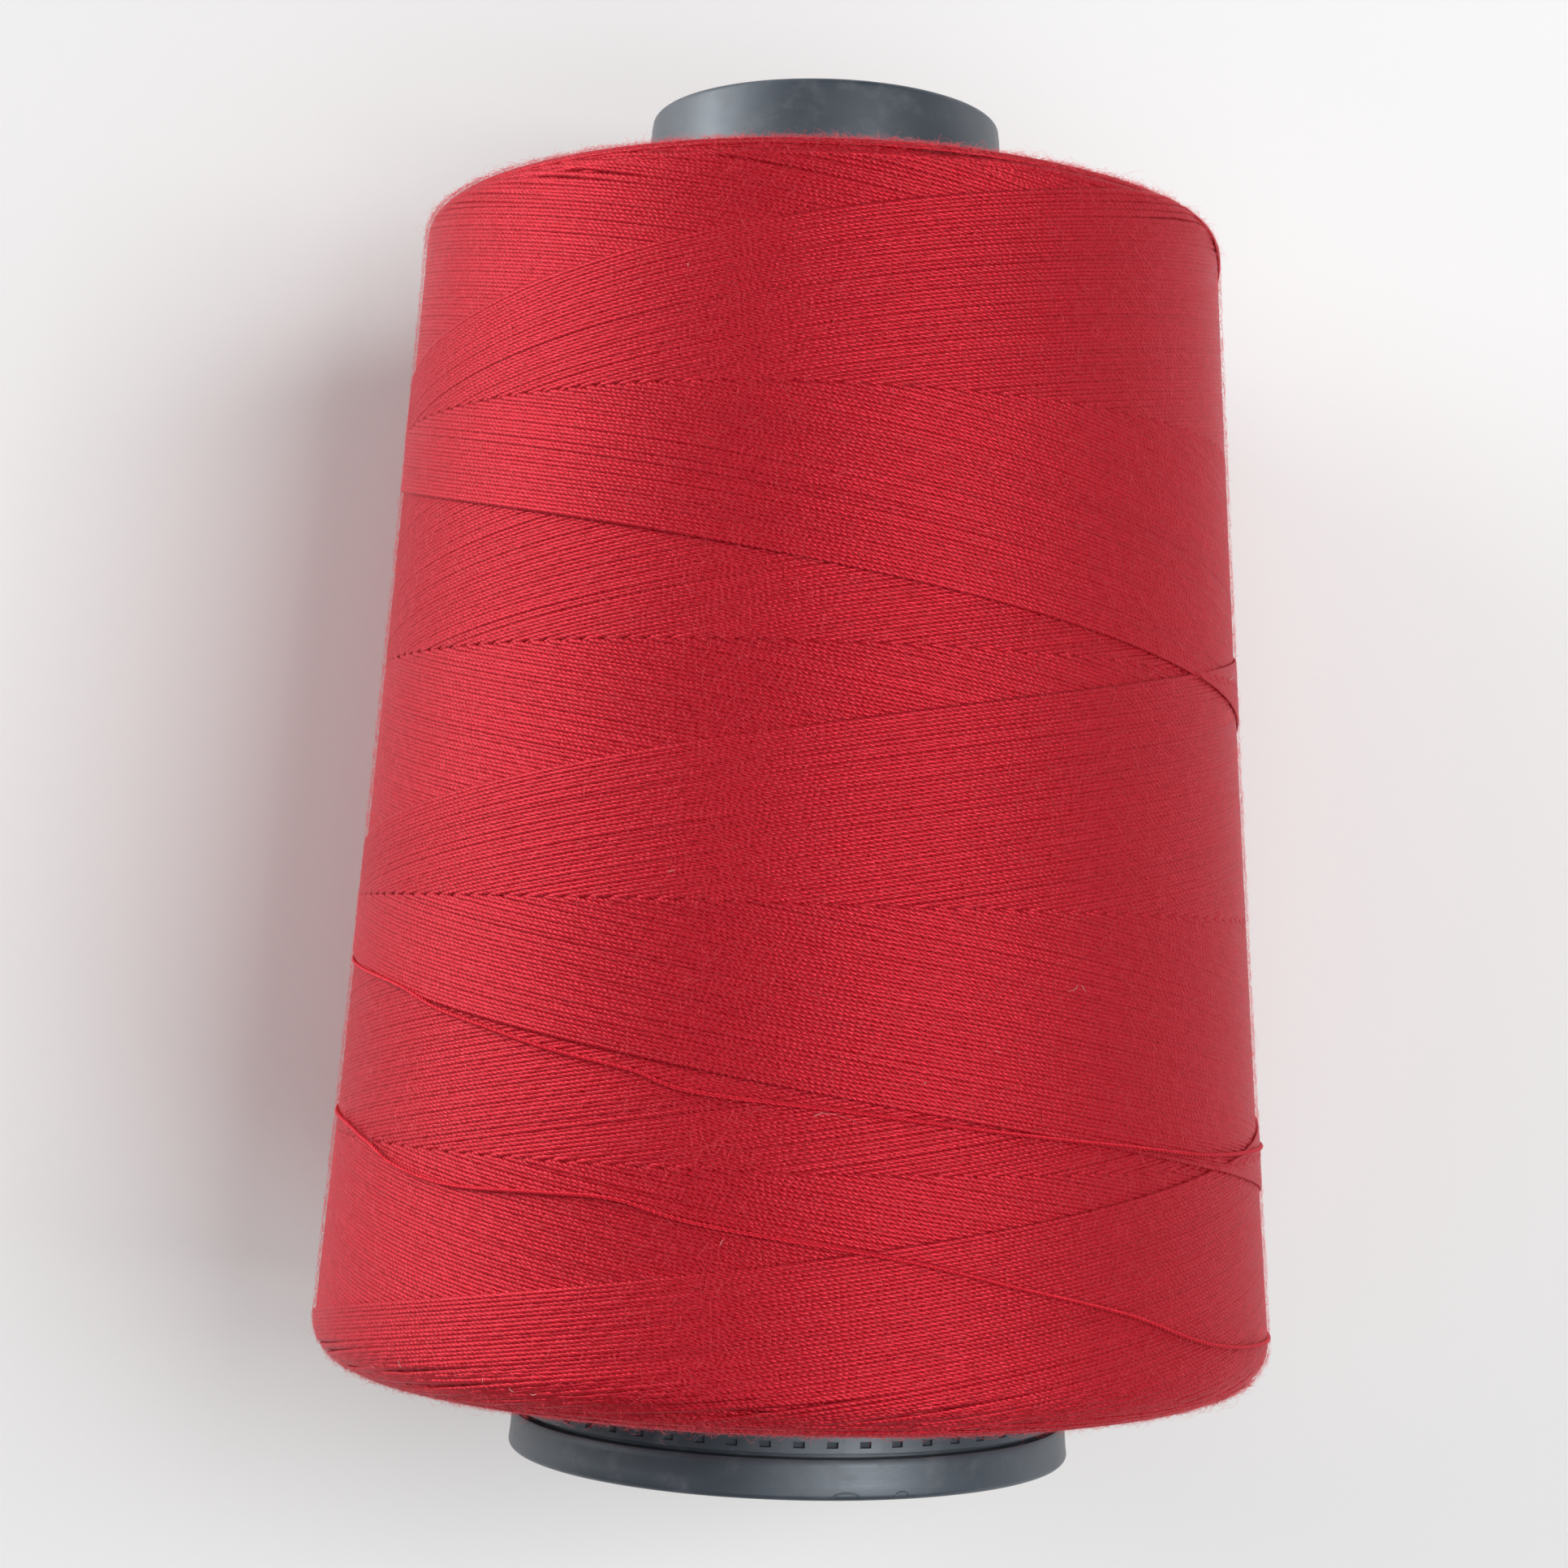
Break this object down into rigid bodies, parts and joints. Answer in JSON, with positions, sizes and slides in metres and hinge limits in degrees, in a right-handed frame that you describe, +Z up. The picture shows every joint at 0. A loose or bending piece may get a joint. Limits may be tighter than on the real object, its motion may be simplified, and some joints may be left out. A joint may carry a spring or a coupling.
{
  "type": "cone of sewing thread",
  "caption": "Cone of red sewing thread cross-wound on a hollow tapered plastic core, with loose outer turns; the core drops over a thread stand's spindle.",
  "frame": {"origin": "centre of the base rim, in the plane the cone stands on", "axes": "+Z up along the core from base to nose; -Y faces the viewer"},
  "size_m": [0.082, 0.0819, 0.115],
  "materials": {
    "core_plastic": "satin",
    "thread": "soft satin",
    "loose_thread": "soft satin"
  },
  "bodies": {
    "root": {"cone_core": "core_plastic", "thread_package": "thread", "loose_wrap": "loose_thread"}
  },
  "joints": []
}
